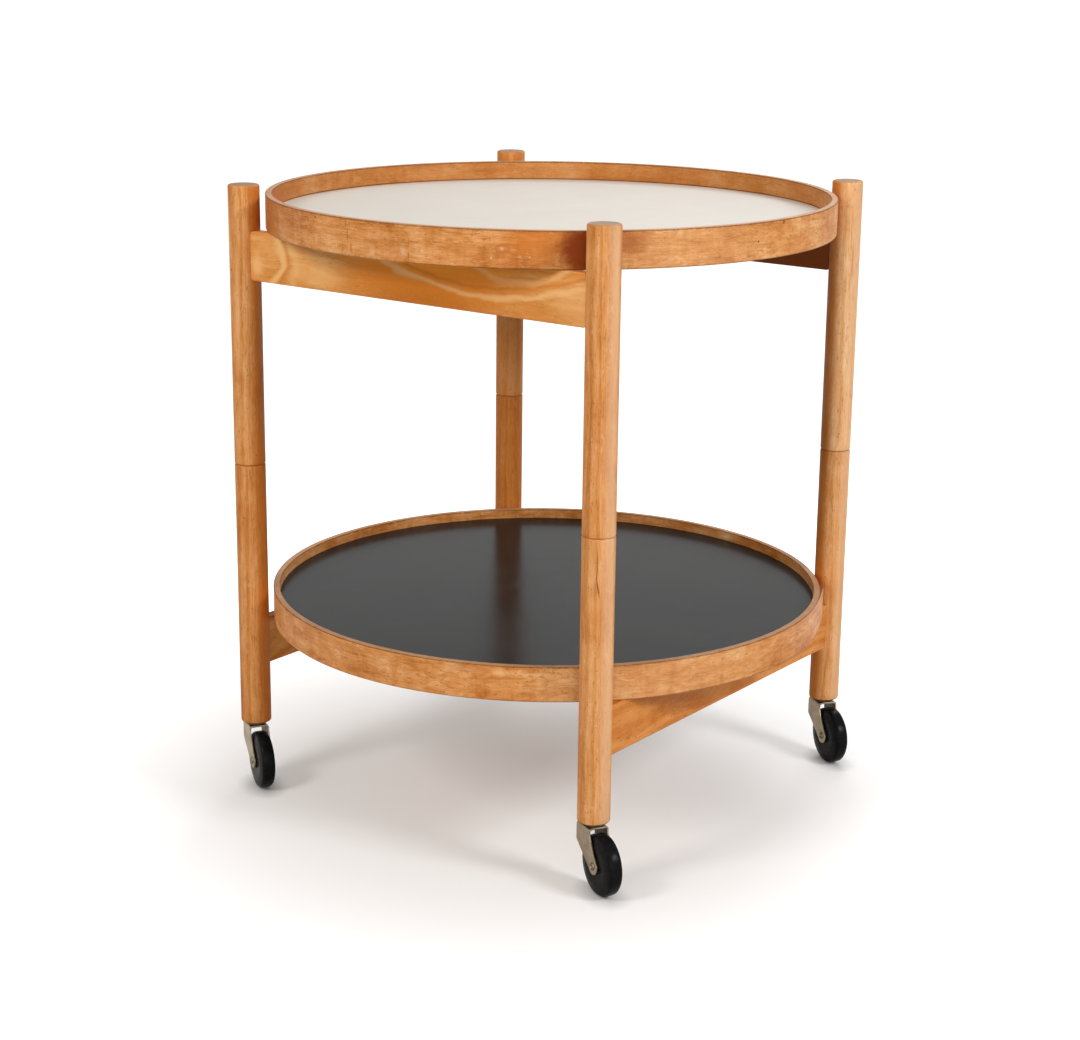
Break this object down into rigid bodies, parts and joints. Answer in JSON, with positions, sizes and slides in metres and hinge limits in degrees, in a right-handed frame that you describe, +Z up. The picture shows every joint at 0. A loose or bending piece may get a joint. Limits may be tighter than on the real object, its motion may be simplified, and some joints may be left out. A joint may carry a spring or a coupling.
{
  "type": "serving trolley",
  "caption": "Round serving trolley with a folding post-and-rail wooden frame, reversible lift-off trays and swivel casters.",
  "frame": {"origin": "on the floor under the middle of the trays", "axes": "+Z up from the floor, +X along the top rails from the left post to the front post, +Y along the bottom rails from the front post to the right post"},
  "size_m": [0.547, 0.547, 0.6],
  "materials": {
    "post_wood": "oiled, satin",
    "rail_wood": "oiled, satin",
    "rim_wood": "oiled, satin",
    "core_wood": "raw plywood",
    "dowel_wood": "raw",
    "white_laminate": "fine matt",
    "black_laminate": "fine satin",
    "pin_steel": "drawn",
    "socket_steel": "dull, browned",
    "stem_steel": "turned",
    "fork_nickel": "aged nickel plate",
    "axle_steel": "riveted",
    "bush_steel": "turned",
    "wheel_black": "hard, semi-gloss"
  },
  "bodies": {
    "upper_front_frame": {"upper_post_left": "post_wood", "upper_post_front": "post_wood", "top_rail_front": "rail_wood", "top_front_dowels": "dowel_wood"},
    "upper_back_frame": {"upper_post_right": "post_wood", "upper_post_back": "post_wood", "top_rail_back": "rail_wood", "top_back_dowels": "dowel_wood"},
    "lower_right_frame": {"lower_post_front": "post_wood", "lower_post_right": "post_wood", "hinge_pin_front": "pin_steel", "hinge_pin_right": "pin_steel", "bottom_rail_right": "rail_wood", "bottom_right_dowels": "dowel_wood", "socket_front": "socket_steel", "socket_right": "socket_steel"},
    "lower_left_frame": {"lower_post_left": "post_wood", "lower_post_back": "post_wood", "hinge_pin_left": "pin_steel", "hinge_pin_back": "pin_steel", "bottom_rail_left": "rail_wood", "bottom_left_dowels": "dowel_wood", "socket_left": "socket_steel", "socket_back": "socket_steel"},
    "top_tray": {"top_tray_rim": "rim_wood", "top_tray_core": "core_wood", "top_tray_white_laminate": "white_laminate", "top_tray_black_laminate": "black_laminate"},
    "lower_tray": {"lower_tray_rim": "rim_wood", "lower_tray_core": "core_wood", "lower_tray_white_laminate": "white_laminate", "lower_tray_black_laminate": "black_laminate"},
    "caster_left": {"stem_left": "stem_steel", "fork_left": "fork_nickel", "axle_left": "axle_steel"},
    "rolling_left": {"wheel_left": "wheel_black", "bush_left": "bush_steel"},
    "caster_front": {"stem_front": "stem_steel", "fork_front": "fork_nickel", "axle_front": "axle_steel"},
    "rolling_front": {"wheel_front": "wheel_black", "bush_front": "bush_steel"},
    "caster_right": {"stem_right": "stem_steel", "fork_right": "fork_nickel", "axle_right": "axle_steel"},
    "rolling_right": {"wheel_right": "wheel_black", "bush_right": "bush_steel"},
    "caster_back": {"stem_back": "stem_steel", "fork_back": "fork_nickel", "axle_back": "axle_steel"},
    "rolling_back": {"wheel_back": "wheel_black", "bush_back": "bush_steel"}
  },
  "joints": [
    {"name": "front_fold", "type": "hinge", "parent": "upper_front_frame", "child": "lower_right_frame", "pos_m": [0.2075, -0.2075, 0.33], "axis": [0, 0, 1], "range_deg": [-0.8, 0.8]},
    {"name": "left_fold", "type": "hinge", "parent": "upper_front_frame", "child": "lower_left_frame", "pos_m": [-0.2075, -0.2075, 0.33], "axis": [0, 0, 1], "range_deg": [-0.8, 0.8]},
    {"name": "right_fold", "type": "hinge", "parent": "lower_right_frame", "child": "upper_back_frame", "pos_m": [0.2075, 0.2075, 0.33], "axis": [0, 0, 1], "range_deg": [-0.8, 0.8]},
    {"name": "top_tray_lift", "type": "slide", "parent": "upper_front_frame", "child": "top_tray", "axis": [0, 0, 1], "range_m": [0, 0.15]},
    {"name": "lower_tray_lift", "type": "slide", "parent": "lower_right_frame", "child": "lower_tray", "axis": [0, 0, 1], "range_m": [0, 0.3]},
    {"name": "swivel_left", "type": "hinge", "parent": "lower_left_frame", "child": "caster_left", "pos_m": [-0.2075, -0.2075, 0.064], "axis": [0, 0, 1], "continuous": true},
    {"name": "swivel_front", "type": "hinge", "parent": "lower_right_frame", "child": "caster_front", "pos_m": [0.2075, -0.2075, 0.064], "axis": [0, 0, 1], "continuous": true},
    {"name": "swivel_right", "type": "hinge", "parent": "lower_right_frame", "child": "caster_right", "pos_m": [0.2075, 0.2075, 0.064], "axis": [0, 0, 1], "continuous": true},
    {"name": "swivel_back", "type": "hinge", "parent": "lower_left_frame", "child": "caster_back", "pos_m": [-0.2075, 0.2075, 0.064], "axis": [0, 0, 1], "continuous": true},
    {"name": "roll_left", "type": "hinge", "parent": "caster_left", "child": "rolling_left", "pos_m": [-0.19207, -0.21677, 0.0285], "axis": [0.515, 0.8572, 0], "continuous": true},
    {"name": "roll_front", "type": "hinge", "parent": "caster_front", "child": "rolling_front", "pos_m": [0.22354, -0.21567, 0.0285], "axis": [0.454, 0.891, 0], "continuous": true},
    {"name": "roll_right", "type": "hinge", "parent": "caster_right", "child": "rolling_right", "pos_m": [0.2226, 0.1977, 0.0285], "axis": [0.5446, 0.8387, 0], "continuous": true},
    {"name": "roll_back", "type": "hinge", "parent": "caster_back", "child": "rolling_back", "pos_m": [-0.19191, 0.1985, 0.0285], "axis": [0.5, 0.866, 0], "continuous": true}
  ],
  "couplings": [
    {"joint": "left_fold", "follows": "front_fold", "ratio": 1},
    {"joint": "right_fold", "follows": "front_fold", "ratio": -1}
  ]
}
